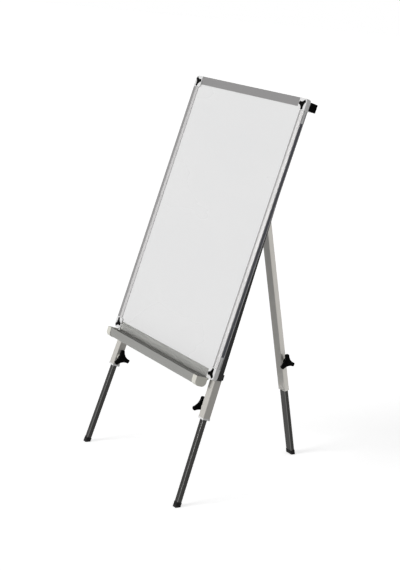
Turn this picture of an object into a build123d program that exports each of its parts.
from build123d import *
import os
from math import cos, radians, sin, tan

# A whiteboard easel: a framed writing board with a pen tray, carried by two front legs and
# one folding rear leg. All three legs telescope and are held by clamp knobs.
# Millimetres and degrees. +Z is up, the writing side faces -Y, and the origin lies on the
# floor under the middle of the easel's box.

# Board: a steel writing sheet, a core and a backing sheet
board_width = 700.0
board_height = 1000.0
board_tilt = 14.6
board_bottom = 452.0
sheet_thickness = 0.4
core_thickness = 9.4
backing_thickness = 0.4
board_play = 0.15

# Frame rails, as aluminium extrusions that hold the board's edge in a slot
side_rail_width = 29.0
level_rail_width = 30.0
rail_flat = 17.0
rail_drop = 3.0
rail_lip = 1.3
rail_flange = 1.2
rail_wall = 1.5
rail_edge_radius = 1.2
board_edge_inset = 12.5
groove_depth = 4.5
groove_front = 2.6
groove_width = 10.8

# Dark trim strips in the outer grooves of the side rails
trim_thickness = 3.2
trim_play = 0.2

# Corner caps, with pegs in the rails and tongues in their grooves
cap_size = 42.0
cap_corner_radius = 12.0
cap_inner_radius = 10.0
cap_edge_radius = 1.2
cap_proud = 1.2
cap_gap = 0.2
tongue_length = 43.0
tongue_width = 8.8
tongue_thickness = 3.9
peg_length = 48.0
screw_reach = 38.0
peg_play = 0.15

# Black three-armed inserts in the corner caps
star_radius = 19.0
star_arms = 3
star_turn = 135.0
star_waist = 9.6
star_scallop = 20.0
star_tip_radius = 2.2
star_recess = 1.6
star_thickness = 2.0
star_play = 0.1

# Pen tray: a trough under the bottom rail, with moulded end caps
tray_inset = 32.0
tray_reach = 44.0
tray_bottom = 33.5
tray_lip_drop = 0.5
tray_wall = 1.8
tray_corner_radius = 16.0
tray_bead_radius = 1.5
tray_tab_depth = 14.5
tray_notch_depth = 6.0
tray_notch_height = 5.0
tray_bend = 1.2
tray_screw_count = 4
tray_screw_inset = 24.8
tray_cap_length = 24.0
tray_cap_skin = 1.0
tray_cap_plate = 2.5
tray_cap_play = 0.1

# Front legs: square tubes in a plane behind the frame, splayed a little
leg_size = 30.0
leg_wall = 1.2
leg_corner_radius = 2.5
leg_gap = 6.0
leg_splay = 2.35
leg_inset = 33.5
sleeve_length = 136.0
joiner_length = 90.0
joiner_play = 0.1
joiner_bore_play = 0.5
inner_size = 18.6
inner_wall = 1.0
inner_corner_radius = 2.0
inner_length = 600.0
bush_length = 25.0
bush_play = 0.3
collar_size = 32.0
collar_length = 6.0

# Top cross tube and its end plugs
cross_height = 30.0
cross_drop = 7.0
cross_inset = 5.0
plug_flange = 4.0
plug_insert = 18.0
plug_play = 0.1
plug_edge_radius = 1.0

# Rear leg: a flat tube that swings on a pin in a bracket under the cross tube
rear_angle = 15.35
rear_width = 42.0
rear_depth = 22.0
rear_sleeve_height = 279.0
rear_top = 20.0
rear_inner_width = 34.0
rear_inner_depth = 16.2
rear_inner_length = 620.0
rear_bush_length = 22.0
pivot_drop = 70.0
pivot_depth = 51.0
bracket_sheet = 3.0
bracket_play = 0.5
bracket_screw_offset = 12.0
bracket_boss_radius = 13.0
stop_boss_radius = 8.0
stop_height = 14.0
stop_radius = 4.0
stop_gap = 0.3
pin_radius = 4.0
pin_play = 0.05
pin_head_radius = 7.0
pin_head_height = 2.5
rear_cap_height = 3.0
rear_cap_insert = 8.0

# Feet: black boots, cut level with the floor
foot_wall = 1.5
foot_height = 17.0
foot_sole = 8.0
foot_play = 0.1

# Clamps: a boss on the tube, a stud that clears the tube's bush, and a three-lobed knob
clamp_gap = 3.8
rear_clamp_gap = 102.0
boss_radius = 9.0
boss_length = 9.0
boss_chamfer = 1.0
stud_radius = 4.0
stud_play = 0.05
stud_tip_gap = 0.3
stud_seat = 6.0
hub_radius = 11.0
hub_length = 8.0
hub_gap = 0.3
knob_lobes = 3
knob_radius = 33.0
knob_waist = 15.0
knob_scallop = 40.0
knob_tip_radius = 5.0
knob_thickness = 12.0
knob_edge_radius = 2.5
knob_dome_height = 2.0
knob_dome_taper = 30.0
left_knob_turn = 108.0
right_knob_turn = 91.0
rear_knob_turn = 86.0

# Straps, plates and fasteners
strap_sheet = 2.0
strap_length = 20.0
strap_ear = 13.0
strap_play = 0.1
strap_height = 4.0
spacer_width = 24.0
spacer_offset = 150.0
gusset_sheet = 2.5
gusset_drop = 34.0
gusset_pitch = 15.0
screw_radius = 1.7
screw_play = 0.05
screw_head_radius = 3.4
screw_head_height = 1.6
bolt_radius = 3.0
bolt_head_radius = 6.0
bolt_head_height = 3.5

# Values that follow from the sizes above
tilt = radians(board_tilt)
splay = radians(leg_splay)
lean = radians(rear_angle)
slot_height = sheet_thickness + core_thickness + backing_thickness + 2 * board_play
frame_depth = rail_drop + rail_lip + slot_height + rail_flange
slot_bottom = board_edge_inset - board_play
chamber_start = groove_depth + rail_wall
chamber_width = slot_bottom - rail_wall - chamber_start
leg_depth = frame_depth + leg_gap + leg_size / 2
pivot_height = board_height - pivot_drop
level_rail_length = board_width - 2 * cap_size - 2 * cap_gap
side_rail_length = board_height - 2 * cap_size - 2 * cap_gap
tray_length = board_width - 2 * tray_inset
cross_length = board_width - 2 * cross_inset
leg_offset = board_width / 2 - leg_inset

leg_floor = (board_bottom - leg_depth * sin(tilt)) / (cos(splay) * cos(tilt))
front_foot_y = leg_depth * cos(tilt) - leg_floor * cos(splay) * sin(tilt)
front_foot_x = leg_offset + leg_floor * sin(splay)
pivot_y = pivot_height * sin(tilt) + pivot_depth * cos(tilt)
pivot_z = board_bottom + pivot_height * cos(tilt) - pivot_depth * sin(tilt)
rear_floor = pivot_z / cos(lean)
rear_foot_y = pivot_y + pivot_z * tan(lean)
sleeve_end = leg_floor - sleeve_length
clamp_height = sleeve_end + bush_length + stud_radius + clamp_gap
rear_clamp_height = rear_sleeve_height + rear_bush_length + stud_radius + rear_clamp_gap

foot_size = inner_size + 2 * foot_wall
rear_foot_depth = rear_inner_depth + 2 * foot_wall
front_end = front_foot_y - foot_size / 2 / cos(tilt)
rear_end = rear_foot_y + rear_foot_depth / 2 / cos(lean)
board_y = -(front_end + rear_end) / 2

# Directions and planes that the pieces are drawn on
across = Vector(1, 0, 0)
up_board = Vector(0, sin(tilt), cos(tilt))
forward = Vector(0, -cos(tilt), sin(tilt))
board_plane = Plane(origin=(0, board_y, board_bottom), x_dir=across, z_dir=forward)
middle_of_board = Plane(
    origin=board_plane.from_local_coords((0, board_height / 2, 0)), x_dir=across, z_dir=up_board
)
pivot = Vector(0, board_y + pivot_y, pivot_z)
rear_up = Vector(0, -sin(lean), cos(lean))
rear_forward = Vector(0, -cos(lean), -sin(lean))


def board_point(u, v, depth):
    """A point u across, v up the board and depth behind the frame's front face."""
    return board_plane.from_local_coords((u, v, -depth))


def front_plane(u, v, depth):
    """A plane that faces forward, with its X across and its Y up the board."""
    return Plane(origin=board_point(u, v, depth), x_dir=across, z_dir=forward)


def back_plane(u, v, depth):
    """A plane that faces backward, with its X across and its Y down the board."""
    return Plane(origin=board_point(u, v, depth), x_dir=across, z_dir=forward * -1)


def cross_section_plane(u, v, depth):
    """A plane that faces across, with its X backward and its Y up the board."""
    return Plane(origin=board_point(u, v, depth), x_dir=forward * -1, z_dir=across)


def leg_plane(distance):
    """Across the left leg, at a distance above the floor along the leg. Y is backward."""
    axis = up_board * cos(splay) + across * sin(splay)
    side = across * cos(splay) - up_board * sin(splay)
    start = board_point(-leg_offset, 0, leg_depth) - axis * leg_floor
    return Plane(origin=start + axis * distance, x_dir=side, z_dir=axis)


def rear_plane(distance):
    """Across the rear leg, at a distance above the floor along the leg. Y is backward."""
    return Plane(origin=pivot + rear_up * (distance - rear_floor), x_dir=across, z_dir=rear_up)


def side_of(plane, offset):
    """The plane beside a leg that faces its +X, with its Y along the leg."""
    origin = plane.from_local_coords((offset, 0, 0))
    return Plane(origin=origin, x_dir=plane.y_dir, z_dir=plane.x_dir)


def drill(places, radius, amount):
    """Drill round holes into the piece that is being made."""
    with BuildSketch(*places) as holes:
        Circle(radius)
    extrude(holes.sketch, amount=amount, mode=Mode.SUBTRACT)


# Writing board


def board_layer(start, thickness):
    """One layer of the board, from a depth behind the frame's front face."""
    with BuildPart() as layer:
        with BuildSketch(front_plane(0, board_height / 2, start + thickness)):
            Rectangle(board_width - 2 * board_edge_inset, board_height - 2 * board_edge_inset)
        extrude(amount=thickness)
    return layer


sheet_start = rail_drop + rail_lip + board_play
core_start = sheet_start + sheet_thickness
writing_sheet = board_layer(sheet_start, sheet_thickness)
board_core = board_layer(core_start, core_thickness)
backing_sheet = board_layer(core_start + core_thickness, backing_thickness)

# Frame rails. In their sections X runs in from the outer edge, and Y back from the front.
screw_setback = cap_size + cap_gap + screw_reach
screw_inset = chamber_start + chamber_width / 2


def draw_rail(width):
    """The section of a rail, with its outer groove, its chamber and the board's slot."""
    Polygon(
        (0, 0),
        (rail_flat, 0),
        (width, rail_drop),
        (width, rail_drop + rail_lip),
        (slot_bottom, rail_drop + rail_lip),
        (slot_bottom, frame_depth - rail_flange),
        (width, frame_depth - rail_flange),
        (width, frame_depth),
        (0, frame_depth),
        align=None,
    )
    with Locations((groove_depth / 2, groove_front + groove_width / 2)):
        Rectangle(groove_depth, groove_width, mode=Mode.SUBTRACT)
    with Locations((chamber_start + chamber_width / 2, frame_depth / 2)):
        Rectangle(chamber_width, frame_depth - 2 * rail_wall, mode=Mode.SUBTRACT)


with BuildPart() as left_rail:
    rail_start = board_point(-board_width / 2, cap_size + cap_gap, 0)
    with BuildSketch(Plane(origin=rail_start, x_dir=across, z_dir=up_board)) as side_section:
        draw_rail(side_rail_width)
        fillet(side_section.vertices().sort_by_distance((0, 0))[0], radius=rail_edge_radius)
    extrude(amount=side_rail_length)
    screw_u = -board_width / 2 + screw_inset
    places = [back_plane(screw_u, v, frame_depth) for v in (screw_setback, board_height - screw_setback)]
    drill(places, screw_radius + screw_play, -rail_wall)

with BuildPart() as right_rail:
    mirror(left_rail.part, about=Plane.YZ)

with BuildPart() as level_rail:
    rail_start = board_point(-level_rail_length / 2, board_height, 0)
    with BuildSketch(Plane(origin=rail_start, x_dir=up_board * -1, z_dir=across)) as top_section:
        draw_rail(level_rail_width)
        fillet(top_section.vertices().sort_by_distance((0, 0))[0], radius=rail_edge_radius)
    extrude(amount=level_rail_length)
    screw_u = board_width / 2 - screw_setback
    places = [back_plane(u, board_height - screw_inset, frame_depth) for u in (-screw_u, screw_u)]
    drill(places, screw_radius + screw_play, -rail_wall)

# Trim strips, pressed into the grooves of the side rails between the caps' tongues
trim_length = board_height - 2 * (cap_size + tongue_length + cap_gap)

with BuildPart() as left_trim:
    trim_start = board_point(
        -board_width / 2 + groove_depth - trim_thickness,
        (board_height - trim_length) / 2,
        groove_front + trim_play,
    )
    with BuildSketch(Plane(origin=trim_start, x_dir=across, z_dir=up_board)):
        Rectangle(trim_thickness, groove_width - 2 * trim_play, align=(Align.MIN, Align.MIN))
    extrude(amount=trim_length)

with BuildPart() as right_trim:
    mirror(left_trim.part, about=Plane.YZ)

# Front leg straps. Their places come before the caps and the bottom rail, which they screw to.
leg_front = leg_size / 2 + leg_gap
strap_half = leg_size / 2 + strap_play
strap_middle = leg_floor + strap_height + strap_length / 2
strap_screw_x = strap_half + strap_sheet + strap_ear / 2


def strap_screw_places():
    """The left strap's two screws, as planes on its ears that face backward."""
    level = leg_plane(strap_middle)
    return [
        Plane(
            origin=level.from_local_coords((x, strap_sheet - leg_front, 0)),
            x_dir=level.x_dir,
            z_dir=level.y_dir,
        )
        for x in (-strap_screw_x, strap_screw_x)
    ]


strap_screw_length = strap_sheet + rail_flange

# Corner caps. The left ones are drawn, and the right ones are their mirror images.
peg_width = chamber_width - 2 * peg_play
peg_depth = frame_depth - 2 * rail_wall - 2 * peg_play
tongue_middle = groove_front + groove_width / 2


def draw_star(grow):
    """The three-armed outline of an insert, grown by a clearance."""
    Circle(star_radius + grow)
    between_arms = star_turn + 180 / star_arms
    with PolarLocations(star_waist + star_scallop, star_arms, start_angle=between_arms):
        Circle(star_scallop - grow, mode=Mode.SUBTRACT)


with BuildPart() as corner_cap_top_left:
    cap_left = -board_width / 2
    with BuildSketch(front_plane(cap_left, board_height, frame_depth)) as cap_outline:
        Rectangle(cap_size, cap_size, align=(Align.MIN, Align.MAX))
        fillet(cap_outline.vertices().sort_by_distance((0, 0))[0], radius=cap_corner_radius)
        inner_corners = cap_outline.vertices().sort_by_distance((cap_size, -cap_size))
        fillet(inner_corners[0], radius=cap_inner_radius)
    extrude(amount=frame_depth + cap_proud)
    front_face = corner_cap_top_left.faces().sort_by(Axis((0, 0, 0), forward))[-1]
    fillet(front_face.edges(), radius=cap_edge_radius)
    pocket_corner = front_plane(
        cap_left + slot_bottom, board_height - slot_bottom, frame_depth - rail_flange
    )
    with BuildSketch(pocket_corner):
        Rectangle(cap_size, cap_size, align=(Align.MIN, Align.MAX))
    extrude(amount=slot_height, mode=Mode.SUBTRACT)
    star_plane = front_plane(cap_left + cap_size / 2, board_height - cap_size / 2, -cap_proud)
    with BuildSketch(star_plane) as recess_outline:
        draw_star(star_play)
        fillet(recess_outline.vertices(), radius=star_tip_radius)
    extrude(amount=-star_recess, mode=Mode.SUBTRACT)
    down_tongue = Plane(
        origin=board_point(cap_left + groove_depth, board_height - cap_size, tongue_middle),
        x_dir=across * -1,
        z_dir=up_board * -1,
    )
    level_tongue = Plane(
        origin=board_point(cap_left + cap_size, board_height - groove_depth, tongue_middle),
        x_dir=up_board,
        z_dir=across,
    )
    with BuildSketch(down_tongue, level_tongue):
        Rectangle(tongue_thickness, tongue_width, align=(Align.MIN, Align.CENTER))
    extrude(amount=tongue_length)
    down_peg = Plane(
        origin=board_point(cap_left + screw_inset, board_height - cap_size, frame_depth / 2),
        x_dir=across * -1,
        z_dir=up_board * -1,
    )
    level_peg = Plane(
        origin=board_point(cap_left + cap_size, board_height - screw_inset, frame_depth / 2),
        x_dir=up_board,
        z_dir=across,
    )
    with BuildSketch(down_peg, level_peg):
        Rectangle(peg_width, peg_depth)
    extrude(amount=peg_length)
    peg_back = frame_depth - rail_wall - peg_play
    places = [
        back_plane(cap_left + screw_inset, board_height - screw_setback, peg_back),
        back_plane(cap_left + screw_setback, board_height - screw_inset, peg_back),
    ]
    drill(places, screw_radius + screw_play, -peg_depth)

with BuildPart() as corner_cap_top_right:
    mirror(corner_cap_top_left.part, about=Plane.YZ)

with BuildPart() as corner_cap_bottom_left:
    mirror(corner_cap_top_left.part, about=middle_of_board)
    drill(strap_screw_places(), screw_radius + screw_play, -strap_screw_length)

with BuildPart() as corner_cap_bottom_right:
    mirror(corner_cap_bottom_left.part, about=Plane.YZ)

with BuildPart() as corner_star_top_left:
    with BuildSketch(star_plane.offset(-star_recess)) as star_outline:
        draw_star(0)
        fillet(star_outline.vertices(), radius=star_tip_radius)
    extrude(amount=star_thickness)

with BuildPart() as corner_star_top_right:
    mirror(corner_star_top_left.part, about=Plane.YZ)

with BuildPart() as corner_star_bottom_left:
    mirror(corner_star_top_left.part, about=middle_of_board)

with BuildPart() as corner_star_bottom_right:
    mirror(corner_star_bottom_left.part, about=Plane.YZ)

# Screws that hold the rails on the caps' pegs, from behind


def corner_screw_places():
    """Each corner's two screws, as planes on the frame's back."""
    places = []
    for side in (-1, 1):
        for v in (screw_setback, board_height - screw_setback):
            places.append(back_plane(side * (board_width / 2 - screw_inset), v, frame_depth))
        for v in (screw_inset, board_height - screw_inset):
            places.append(back_plane(side * (board_width / 2 - screw_setback), v, frame_depth))
    return places


def screw_group(places, length):
    """Equal pan-head screws, with their heads on the planes and their shanks behind them."""
    with BuildPart() as screws:
        with BuildSketch(*places):
            Circle(screw_head_radius)
        extrude(amount=screw_head_height)
        with BuildSketch(*places):
            Circle(screw_radius)
        extrude(amount=-length)
    return screws


corner_screws = screw_group(corner_screw_places(), frame_depth / 2)

# Pen tray. X runs back from the frame's front face, and Y up from its lower edge.
tray_end = tray_length / 2 - tray_cap_plate
half_wall = tray_wall / 2
tray_screw_depth = (tray_tab_depth + tray_notch_depth + half_wall) / 2
tray_screw_length = tray_wall + groove_depth + rail_wall
tray_screw_end = level_rail_length / 2 - tongue_length - tray_screw_inset
tray_screw_pitch = 2 * tray_screw_end / (tray_screw_count - 1)


def tray_screw_places():
    """The screws, evenly between the caps' tongues, as planes under the tray's tab that face down."""
    return [
        Plane(
            origin=board_point(place * tray_screw_pitch - tray_screw_end, -tray_wall, tray_screw_depth),
            x_dir=across,
            z_dir=up_board * -1,
        )
        for place in range(tray_screw_count)
    ]


with BuildPart() as pen_tray:
    with BuildSketch(cross_section_plane(-tray_end, 0, 0)):
        with BuildLine():
            FilletPolyline(
                (tray_tab_depth, -half_wall),
                (tray_notch_depth, -half_wall),
                (tray_notch_depth, -tray_notch_height - half_wall),
                (-half_wall, -tray_notch_height - half_wall),
                (-half_wall, half_wall - tray_bottom),
                (half_wall - tray_reach, half_wall - tray_bottom),
                (half_wall - tray_reach, -tray_lip_drop - tray_bead_radius),
                radius=[tray_bend, tray_bend, tray_bend, tray_corner_radius, tray_corner_radius],
            )
            offset(amount=half_wall, side=Side.BOTH)
        make_face()
        with Locations((tray_bead_radius - tray_reach, -tray_lip_drop - tray_bead_radius)):
            Circle(tray_bead_radius)
    extrude(amount=2 * tray_end)
    drill(tray_screw_places(), screw_radius + screw_play, -tray_wall)

tray_screws = screw_group(tray_screw_places(), tray_screw_length)

with BuildPart() as bottom_rail:
    mirror(level_rail.part, about=middle_of_board)
    drill(tray_screw_places(), screw_radius + screw_play, -tray_screw_length)
    drill(strap_screw_places(), screw_radius + screw_play, -strap_screw_length)
    right_places = [
        Plane(
            origin=(-place.origin.X, place.origin.Y, place.origin.Z),
            x_dir=across,
            z_dir=place.z_dir,
        )
        for place in strap_screw_places()
    ]
    drill(right_places, screw_radius + screw_play, -strap_screw_length)


def draw_trough(grow, top):
    """The outer outline of the tray's trough, grown by a clearance, up to a height."""
    height = top + tray_bottom + grow
    with Locations((-tray_reach / 2, top - height / 2)):
        Rectangle(tray_reach + 2 * grow, height)


with BuildPart() as tray_cap_left:
    with BuildSketch(cross_section_plane(-tray_length / 2, 0, 0)) as cap_section:
        draw_trough(tray_cap_play + tray_cap_skin, -tray_lip_drop)
        fillet(
            cap_section.vertices().sort_by(Axis.Y)[:2],
            radius=tray_corner_radius + tray_cap_play + tray_cap_skin,
        )
    extrude(amount=tray_cap_length)
    with BuildSketch(cross_section_plane(-tray_end, 0, 0)) as pocket_section:
        draw_trough(tray_cap_play, 0)
        fillet(
            pocket_section.vertices().sort_by(Axis.Y)[:2],
            radius=tray_corner_radius + tray_cap_play,
        )
        with Locations((0, 0)):
            Rectangle(tray_notch_depth, 2 * (tray_notch_height + tray_wall + tray_cap_play))
    extrude(amount=tray_cap_length, mode=Mode.SUBTRACT)

with BuildPart() as tray_cap_right:
    mirror(tray_cap_left.part, about=Plane.YZ)

# Top cross tube, with a plug in each end
cross_middle = board_height - cross_drop - cross_height / 2
cross_bottom = board_height - cross_drop - cross_height
cross_back = leg_depth + leg_size / 2
cross_front = leg_depth - leg_size / 2
bolt_height = (board_height - level_rail_width + board_height - cross_drop) / 2
bolt_length = leg_size + leg_gap + rail_flange
gusset_u = leg_offset - cross_middle * tan(splay)


def bolt_places():
    """The two bolts through the cross tube, as planes on its back."""
    return [back_plane(u, bolt_height, cross_back) for u in (-spacer_offset, spacer_offset)]


def gusset_screw_places(depth):
    """Four screws in each gusset, as planes at a depth that face backward."""
    places = []
    for side in (-1, 1):
        for step in (-gusset_pitch / 2, gusset_pitch / 2):
            for v in (cross_middle, cross_bottom - gusset_drop / 2):
                places.append(back_plane(side * gusset_u + step, v, depth))
    return places


def bracket_screw_places():
    """Two screws up into the cross tube, as planes under the bracket's web."""
    return [
        Plane(
            origin=board_point(u, cross_bottom - bracket_sheet, leg_depth),
            x_dir=across,
            z_dir=up_board * -1,
        )
        for u in (-bracket_screw_offset, bracket_screw_offset)
    ]


gusset_screw_length = gusset_sheet + leg_wall
bracket_screw_length = bracket_sheet + leg_wall
bore_corner_radius = leg_corner_radius - leg_wall

with BuildPart() as top_rail:
    add(level_rail.part)
    drill(bolt_places(), bolt_radius + screw_play, -bolt_length)

with BuildPart() as cross_tube:
    tube_half = cross_length / 2 - plug_flange
    with BuildSketch(cross_section_plane(-tube_half, cross_middle, leg_depth)):
        RectangleRounded(leg_size, cross_height, leg_corner_radius)
        RectangleRounded(
            leg_size - 2 * leg_wall,
            cross_height - 2 * leg_wall,
            bore_corner_radius,
            mode=Mode.SUBTRACT,
        )
    extrude(amount=2 * tube_half)
    drill(bolt_places(), bolt_radius + screw_play, -bolt_length)
    drill(gusset_screw_places(cross_back), screw_radius + screw_play, -leg_wall)
    drill(bracket_screw_places(), screw_radius + screw_play, -bracket_screw_length)

with BuildPart() as cross_plug_left:
    with BuildSketch(cross_section_plane(-cross_length / 2, cross_middle, leg_depth)):
        RectangleRounded(leg_size, cross_height, leg_corner_radius)
    extrude(amount=plug_flange)
    outer_face = cross_plug_left.faces().sort_by(Axis.X)[0]
    fillet(outer_face.edges(), radius=plug_edge_radius)
    plug_cut = 2 * (leg_wall + plug_play)
    with BuildSketch(cross_section_plane(-tube_half, cross_middle, leg_depth)):
        RectangleRounded(leg_size - plug_cut, cross_height - plug_cut, bore_corner_radius)
    extrude(amount=plug_insert)

with BuildPart() as cross_plug_right:
    mirror(cross_plug_left.part, about=Plane.YZ)

with BuildPart() as cross_spacers:
    spacer_height = 2 * (board_height - cross_drop - bolt_height)
    with BuildSketch(*[front_plane(u, bolt_height, cross_front) for u in (-spacer_offset, spacer_offset)]):
        Rectangle(spacer_width, spacer_height)
        Circle(bolt_radius + screw_play, mode=Mode.SUBTRACT)
    extrude(amount=leg_gap)

with BuildPart() as cross_bolts:
    with BuildSketch(*bolt_places()):
        RegularPolygon(bolt_head_radius, 6)
    extrude(amount=bolt_head_height)
    with BuildSketch(*bolt_places()):
        Circle(bolt_radius)
    extrude(amount=-bolt_length)

# Front legs. The left one is drawn, across the leg with X to the right and Y backward.
bore_size = leg_size - 2 * leg_wall
joiner_size = bore_size - 2 * joiner_play
leg_face = leg_size / 2


def draw_tube(width, depth, wall, corner):
    """The section of a rectangular tube with rounded corners."""
    RectangleRounded(width, depth, corner)
    RectangleRounded(width - 2 * wall, depth - 2 * wall, corner - wall, mode=Mode.SUBTRACT)


with BuildPart() as leg_tube_left:
    with BuildSketch(leg_plane(leg_floor)):
        draw_tube(leg_size, leg_size, leg_wall, leg_corner_radius)
    extrude(amount=board_height)
    under_cross = Plane(origin=board_point(0, cross_bottom, 0), x_dir=across, z_dir=up_board)
    split(bisect_by=under_cross, keep=Keep.BOTTOM)
    drill(gusset_screw_places(cross_back), screw_radius + screw_play, -leg_wall)

with BuildPart() as leg_tube_right:
    mirror(leg_tube_left.part, about=Plane.YZ)

with BuildPart() as leg_sleeve_left:
    with BuildSketch(leg_plane(sleeve_end)):
        draw_tube(leg_size, leg_size, leg_wall, leg_corner_radius)
    extrude(amount=sleeve_length)
    drill([side_of(leg_plane(clamp_height), leg_face)], stud_radius + stud_play, -leg_wall)

with BuildPart() as leg_sleeve_right:
    mirror(leg_sleeve_left.part, about=Plane.YZ)

with BuildPart() as joiner:
    with BuildSketch(leg_plane(leg_floor - joiner_length / 2)):
        joiner_bore = inner_size + 2 * joiner_bore_play
        RectangleRounded(joiner_size, joiner_size, bore_corner_radius)
        Rectangle(joiner_bore, joiner_bore, mode=Mode.SUBTRACT)
    extrude(amount=joiner_length)

with BuildPart() as leg_joiners:
    add(joiner.part)
    mirror(joiner.part, about=Plane.YZ)

with BuildPart() as collar:
    with BuildSketch(leg_plane(sleeve_end - collar_length)):
        RectangleRounded(collar_size, collar_size, leg_corner_radius)
    extrude(amount=collar_length)
    with BuildSketch(leg_plane(sleeve_end)):
        RectangleRounded(joiner_size, joiner_size, bore_corner_radius)
    extrude(amount=bush_length)
    with BuildSketch(leg_plane(sleeve_end - collar_length)):
        Rectangle(inner_size + 2 * bush_play, inner_size + 2 * bush_play)
    extrude(amount=collar_length + bush_length, mode=Mode.SUBTRACT)

with BuildPart() as leg_collars:
    add(collar.part)
    mirror(collar.part, about=Plane.YZ)

with BuildPart() as inner_leg_left:
    with BuildSketch(leg_plane(foot_sole)):
        draw_tube(inner_size, inner_size, inner_wall, inner_corner_radius)
    extrude(amount=inner_length)

with BuildPart() as inner_leg_right:
    mirror(inner_leg_left.part, about=Plane.YZ)

with BuildPart() as foot_left:
    with BuildSketch(leg_plane(-foot_height)):
        RectangleRounded(foot_size, foot_size, inner_corner_radius + foot_wall)
    extrude(amount=2 * foot_height)
    with BuildSketch(leg_plane(foot_sole)):
        Rectangle(inner_size + 2 * foot_play, inner_size + 2 * foot_play)
    extrude(amount=foot_height, mode=Mode.SUBTRACT)
    split(bisect_by=Plane.XY, keep=Keep.TOP)

with BuildPart() as foot_right:
    mirror(foot_left.part, about=Plane.YZ)

# Gussets behind the joints of the legs and the cross tube, and straps at the frame's foot
with BuildPart() as top_gussets:
    gusset_top = cross_bottom + cross_height - leg_corner_radius
    gusset_height = gusset_top - cross_bottom + gusset_drop
    gusset_middle = gusset_top - gusset_height / 2
    with BuildSketch(*[back_plane(u, gusset_middle, cross_back) for u in (-gusset_u, gusset_u)]):
        RectangleRounded(leg_size, gusset_height, leg_corner_radius)
    extrude(amount=gusset_sheet)
    drill(gusset_screw_places(cross_back + gusset_sheet), screw_radius + screw_play, -gusset_sheet)

gusset_screws = screw_group(gusset_screw_places(cross_back + gusset_sheet), gusset_screw_length)

with BuildPart() as leg_strap_left:
    with BuildSketch(leg_plane(strap_middle - strap_length / 2)):
        strap_outer = strap_half + strap_sheet
        with Locations((0, (strap_outer - leg_front) / 2)):
            Rectangle(2 * strap_outer, strap_outer + leg_front)
        with Locations((0, strap_sheet / 2 - leg_front)):
            Rectangle(2 * (strap_outer + strap_ear), strap_sheet)
        with Locations((0, (strap_half - leg_front) / 2)):
            Rectangle(2 * strap_half, strap_half + leg_front, mode=Mode.SUBTRACT)
    extrude(amount=strap_length)
    drill(strap_screw_places(), screw_radius + screw_play, -strap_sheet)

with BuildPart() as leg_strap_right:
    mirror(leg_strap_left.part, about=Plane.YZ)

left_strap_screws = screw_group(strap_screw_places(), strap_screw_length)

with BuildPart() as strap_screws:
    add(left_strap_screws.part)
    mirror(left_strap_screws.part, about=Plane.YZ)

# Rear hinge bracket: a web under the cross tube and two ears round the rear leg
ear_start = rear_width / 2 + bracket_play
ear_end = ear_start + bracket_sheet
stop_reach = rear_depth / 2 + stop_gap + stop_radius
stop_centre = board_plane.to_local_coords(pivot + rear_up * stop_height + rear_forward * stop_reach)
stop_place = (-stop_centre.Z, stop_centre.Y)

with BuildPart() as hinge_bracket:
    with BuildSketch(cross_section_plane(-ear_end, 0, 0), cross_section_plane(ear_start, 0, 0)):
        with Locations((pivot_depth, pivot_height)):
            Circle(bracket_boss_radius)
        with Locations(stop_place):
            Circle(stop_boss_radius)
        with Locations((leg_depth, cross_bottom - bracket_sheet / 2)):
            Rectangle(leg_size, bracket_sheet)
        make_hull()
    extrude(amount=bracket_sheet)
    with BuildSketch(cross_section_plane(-ear_end, cross_bottom - bracket_sheet / 2, leg_depth)):
        Rectangle(leg_size, bracket_sheet)
    extrude(amount=2 * ear_end)
    with BuildSketch(cross_section_plane(-ear_end, 0, 0)):
        with Locations((pivot_depth, pivot_height), stop_place):
            Circle(pin_radius + pin_play)
    extrude(amount=2 * ear_end, mode=Mode.SUBTRACT)
    drill(bracket_screw_places(), screw_radius + screw_play, -bracket_sheet)

bracket_screws = screw_group(bracket_screw_places(), bracket_screw_length)


def bracket_pin(place):
    """A riveted pin through both ears, at a place in the bracket's section."""
    with BuildPart() as pin:
        with BuildSketch(cross_section_plane(-ear_end, 0, 0)):
            with Locations(place):
                Circle(pin_radius)
        extrude(amount=2 * ear_end)
        with BuildSketch(
            cross_section_plane(-ear_end - pin_head_height, 0, 0), cross_section_plane(ear_end, 0, 0)
        ):
            with Locations(place):
                Circle(pin_head_radius)
        extrude(amount=pin_head_height)
    return pin


hinge_pin = bracket_pin((pivot_depth, pivot_height))
stop_pin = bracket_pin(stop_place)

# Rear leg, across the leg with X to the right and Y backward
rear_fit = 2 * (leg_wall + joiner_play)
rear_fit_width = rear_width - rear_fit
rear_fit_depth = rear_depth - rear_fit

with BuildPart() as rear_tube:
    with BuildSketch(rear_plane(rear_sleeve_height)):
        draw_tube(rear_width, rear_depth, leg_wall, leg_corner_radius)
    extrude(amount=rear_floor + rear_top - rear_sleeve_height)
    with BuildSketch(side_of(rear_plane(rear_floor), rear_width / 2)):
        Circle(pin_radius + pin_play)
    extrude(amount=-rear_width, mode=Mode.SUBTRACT)
    drill([side_of(rear_plane(rear_clamp_height), rear_width / 2)], stud_radius + stud_play, -leg_wall)

with BuildPart() as rear_top_cap:
    with BuildSketch(rear_plane(rear_floor + rear_top)):
        RectangleRounded(rear_width, rear_depth, leg_corner_radius)
    extrude(amount=rear_cap_height)
    with BuildSketch(rear_plane(rear_floor + rear_top)):
        RectangleRounded(rear_fit_width, rear_fit_depth, bore_corner_radius)
    extrude(amount=-rear_cap_insert)

with BuildPart() as rear_bush:
    with BuildSketch(rear_plane(rear_sleeve_height)):
        RectangleRounded(rear_fit_width, rear_fit_depth, bore_corner_radius)
        Rectangle(
            rear_inner_width + 2 * bush_play, rear_inner_depth + 2 * bush_play, mode=Mode.SUBTRACT
        )
    extrude(amount=rear_bush_length)

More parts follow.
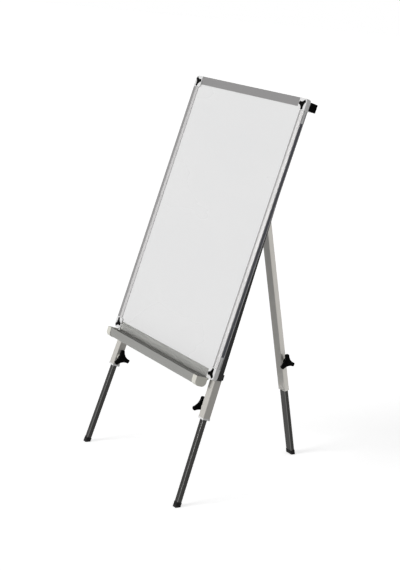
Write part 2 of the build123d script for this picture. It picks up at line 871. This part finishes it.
with BuildPart() as inner_leg_rear:
    with BuildSketch(rear_plane(foot_sole)):
        draw_tube(rear_inner_width, rear_inner_depth, inner_wall, inner_corner_radius)
    extrude(amount=rear_inner_length)

with BuildPart() as foot_rear:
    with BuildSketch(rear_plane(-foot_height)):
        RectangleRounded(
            rear_inner_width + 2 * foot_wall, rear_foot_depth, inner_corner_radius + foot_wall
        )
    extrude(amount=2 * foot_height)
    with BuildSketch(rear_plane(foot_sole)):
        Rectangle(rear_inner_width + 2 * foot_play, rear_inner_depth + 2 * foot_play)
    extrude(amount=foot_height, mode=Mode.SUBTRACT)
    split(bisect_by=Plane.XY, keep=Keep.TOP)

# Clamps, drawn on the face of a tube that looks to +X


def clamp_boss(face):
    """The threaded boss that stands on a tube's face."""
    with BuildPart() as boss:
        with BuildSketch(face):
            Circle(boss_radius)
            Circle(stud_radius + stud_play, mode=Mode.SUBTRACT)
        extrude(amount=boss_length)
        outer_face = boss.faces().sort_by(Axis(face.origin, face.z_dir))[-1]
        chamfer(outer_face.edges().sort_by(SortBy.RADIUS)[-1], length=boss_chamfer)
    return boss


def clamp_stud(face, reach):
    """The stud, from its tip beside the inner leg to its end in the knob."""
    length = reach + boss_length + hub_gap + hub_length + stud_seat
    with BuildPart() as stud:
        with BuildSketch(face.offset(-reach)):
            Circle(stud_radius)
        extrude(amount=length)
    return stud


def clamp_knob(face, turn):
    """The three-lobed knob, with its hub and its blind hole for the stud."""
    hub_start = face.offset(boss_length + hub_gap)
    plate_start = hub_start.offset(hub_length)
    with BuildPart() as knob:
        with BuildSketch(plate_start) as lobes:
            Circle(knob_radius)
            between_lobes = turn + 180 / knob_lobes
            with PolarLocations(knob_waist + knob_scallop, knob_lobes, start_angle=between_lobes):
                Circle(knob_scallop, mode=Mode.SUBTRACT)
            fillet(lobes.vertices(), radius=knob_tip_radius)
        extrude(amount=knob_thickness)
        ends = knob.faces().sort_by(Axis(face.origin, face.z_dir))
        fillet(ends[0].edges() + ends[-1].edges(), radius=knob_edge_radius)
        with BuildSketch(hub_start):
            Circle(hub_radius)
        extrude(amount=hub_length)
        with BuildSketch(plate_start.offset(knob_thickness)):
            Circle(hub_radius - knob_edge_radius)
        extrude(amount=knob_dome_height, taper=knob_dome_taper)
        with BuildSketch(hub_start):
            Circle(stud_radius + stud_play)
        extrude(amount=hub_length + stud_seat, mode=Mode.SUBTRACT)
    return knob


front_face = side_of(leg_plane(clamp_height), leg_face)
front_reach = leg_face - inner_size / 2 - stud_tip_gap
clamp_boss_left = clamp_boss(front_face)
clamp_stud_left = clamp_stud(front_face, front_reach)
knob_left = clamp_knob(front_face, left_knob_turn)
knob_turned = clamp_knob(front_face, right_knob_turn)

with BuildPart() as clamp_bosses:
    add(clamp_boss_left.part)
    mirror(clamp_boss_left.part, about=Plane.YZ)

with BuildPart() as clamp_stud_right:
    mirror(clamp_stud_left.part, about=Plane.YZ)

with BuildPart() as knob_right:
    mirror(knob_turned.part, about=Plane.YZ)

rear_face = side_of(rear_plane(rear_clamp_height), rear_width / 2)
rear_reach = rear_width / 2 - rear_inner_width / 2 - stud_tip_gap
clamp_boss_rear = clamp_boss(rear_face)
clamp_stud_rear = clamp_stud(rear_face, rear_reach)
knob_rear = clamp_knob(rear_face, rear_knob_turn)

# Every piece is written to its own file
pieces = {
    "writing_sheet": writing_sheet,
    "board_core": board_core,
    "backing_sheet": backing_sheet,
    "top_rail": top_rail,
    "bottom_rail": bottom_rail,
    "left_rail": left_rail,
    "right_rail": right_rail,
    "left_trim": left_trim,
    "right_trim": right_trim,
    "corner_cap_top_left": corner_cap_top_left,
    "corner_cap_top_right": corner_cap_top_right,
    "corner_cap_bottom_left": corner_cap_bottom_left,
    "corner_cap_bottom_right": corner_cap_bottom_right,
    "corner_star_top_left": corner_star_top_left,
    "corner_star_top_right": corner_star_top_right,
    "corner_star_bottom_left": corner_star_bottom_left,
    "corner_star_bottom_right": corner_star_bottom_right,
    "corner_screws": corner_screws,
    "pen_tray": pen_tray,
    "tray_cap_left": tray_cap_left,
    "tray_cap_right": tray_cap_right,
    "tray_screws": tray_screws,
    "cross_tube": cross_tube,
    "cross_plug_left": cross_plug_left,
    "cross_plug_right": cross_plug_right,
    "cross_spacers": cross_spacers,
    "cross_bolts": cross_bolts,
    "leg_tube_left": leg_tube_left,
    "leg_tube_right": leg_tube_right,
    "leg_sleeve_left": leg_sleeve_left,
    "leg_sleeve_right": leg_sleeve_right,
    "leg_joiners": leg_joiners,
    "leg_collars": leg_collars,
    "leg_strap_left": leg_strap_left,
    "leg_strap_right": leg_strap_right,
    "strap_screws": strap_screws,
    "top_gussets": top_gussets,
    "gusset_screws": gusset_screws,
    "hinge_bracket": hinge_bracket,
    "bracket_screws": bracket_screws,
    "hinge_pin": hinge_pin,
    "stop_pin": stop_pin,
    "inner_leg_left": inner_leg_left,
    "inner_leg_right": inner_leg_right,
    "foot_left": foot_left,
    "foot_right": foot_right,
    "rear_tube": rear_tube,
    "rear_top_cap": rear_top_cap,
    "rear_bush": rear_bush,
    "inner_leg_rear": inner_leg_rear,
    "foot_rear": foot_rear,
    "clamp_bosses": clamp_bosses,
    "clamp_boss_rear": clamp_boss_rear,
    "clamp_stud_left": clamp_stud_left,
    "clamp_stud_right": clamp_stud_right,
    "clamp_stud_rear": clamp_stud_rear,
    "knob_left": knob_left,
    "knob_right": knob_right,
    "knob_rear": knob_rear,
}

os.makedirs("parts", exist_ok=True)
for name, piece in pieces.items():
    piece.part.label = name
    export_step(piece.part, f"parts/{name}.step")

print("pieces", len(pieces))
print("front foot", -front_foot_x, board_y + front_foot_y, "rear foot", board_y + rear_foot_y)
print("hinge", pivot.Y, pivot.Z, "board edge", board_y, "frame depth", frame_depth)
